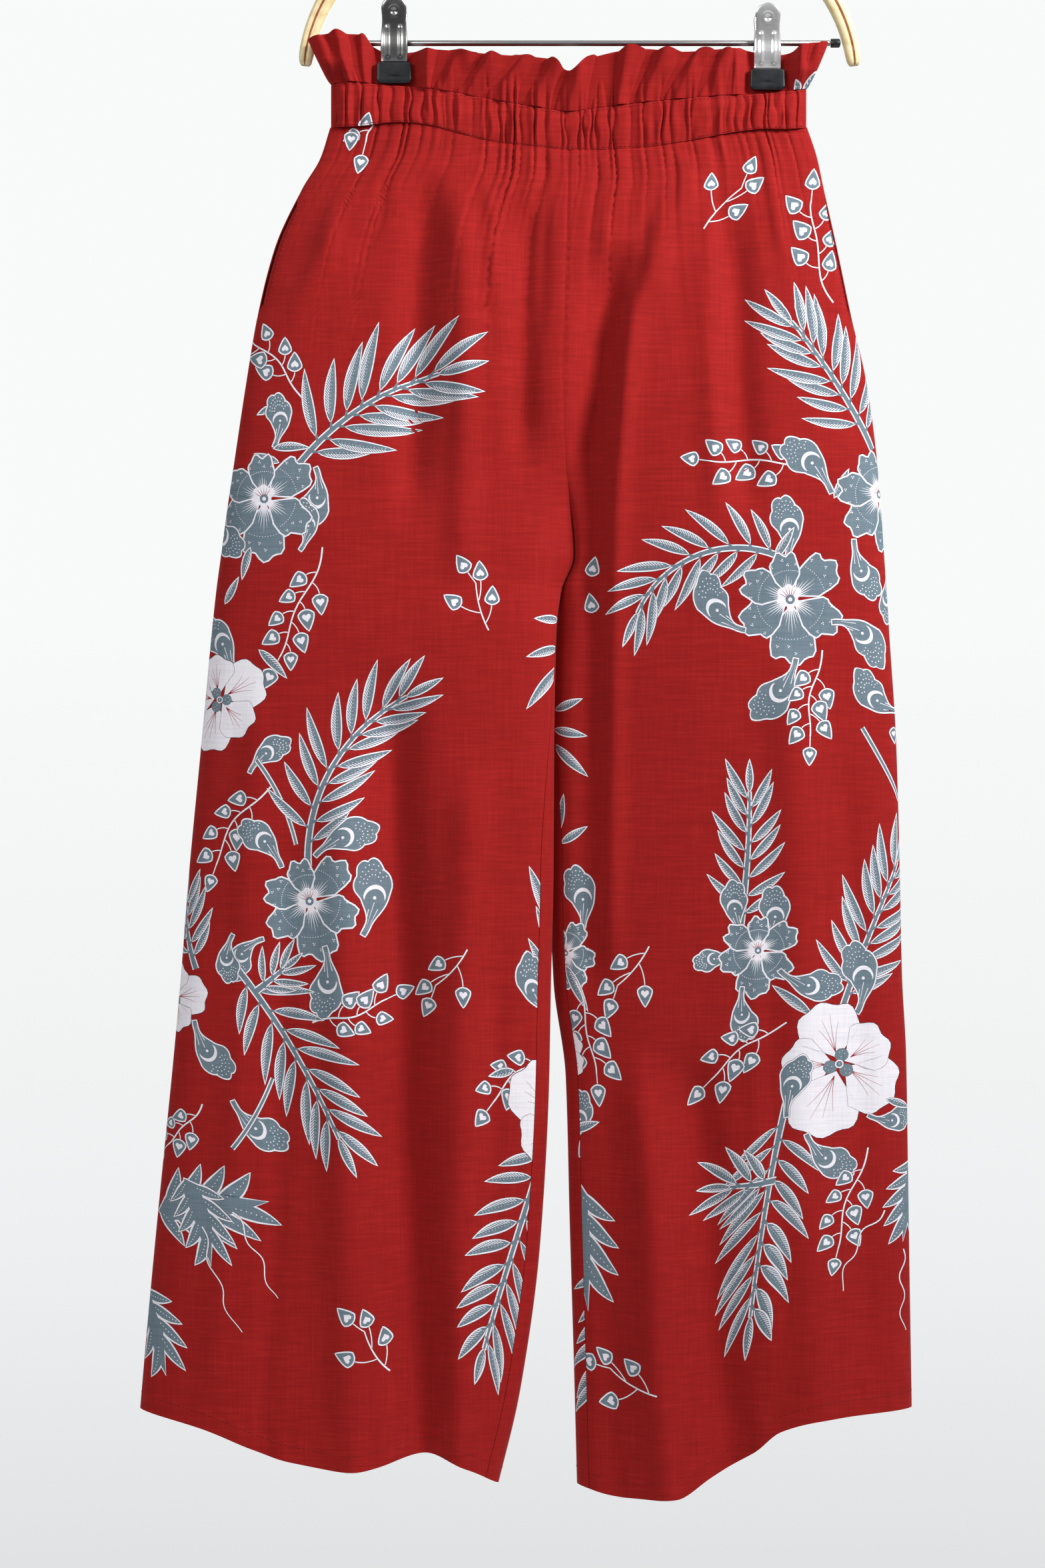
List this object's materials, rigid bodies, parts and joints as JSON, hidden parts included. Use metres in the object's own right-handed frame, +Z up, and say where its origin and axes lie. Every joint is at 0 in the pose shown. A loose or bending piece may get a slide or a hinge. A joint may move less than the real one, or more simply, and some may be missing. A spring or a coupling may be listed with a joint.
{
  "type": "lounge pants on a clip hanger",
  "caption": "Wide-legged lounge pants with a gathered paper-bag waist and slanted side pockets, hung by the waist from a bowed wooden hanger with sliding metal clips",
  "frame": {"origin": "the inside crown of the hanger's hook, where it hangs on a rod", "axes": "+Z up, the front of the trousers faces -Y, +X to the right of someone who looks at the front"},
  "size_m": [0.5532, 0.0739, 1.242],
  "materials": {
    "cloth": "matt plain-weave cotton, dyed red with a white and slate leaf and flower print",
    "wood": "pale wood under satin varnish",
    "bar_steel": "drawn steel",
    "clip_chrome": "plated pressed steel",
    "rubber": "black dipped soft plastic"
  },
  "bodies": {
    "root": {"front_leg_left": "cloth", "front_leg_right": "cloth", "back_leg_left": "cloth", "back_leg_right": "cloth", "waist_casing_front": "cloth", "waist_casing_back": "cloth", "frill_front": "cloth", "frill_back": "cloth", "pocket_facing_left": "cloth", "pocket_facing_right": "cloth", "hanger_arch": "wood", "hook": "bar_steel", "hook_collar": "bar_steel", "bar": "bar_steel", "clip_jaw_front_left": "clip_chrome", "clip_jaw_back_left": "clip_chrome", "clip_sleeve_left": "clip_chrome", "clip_jaw_front_right": "clip_chrome", "clip_jaw_back_right": "clip_chrome", "clip_sleeve_right": "clip_chrome", "bar_cap_left": "rubber", "bar_cap_right": "rubber", "clip_pad_front_left": "rubber", "clip_pad_back_left": "rubber", "clip_pad_front_right": "rubber", "clip_pad_back_right": "rubber"}
  },
  "joints": []
}
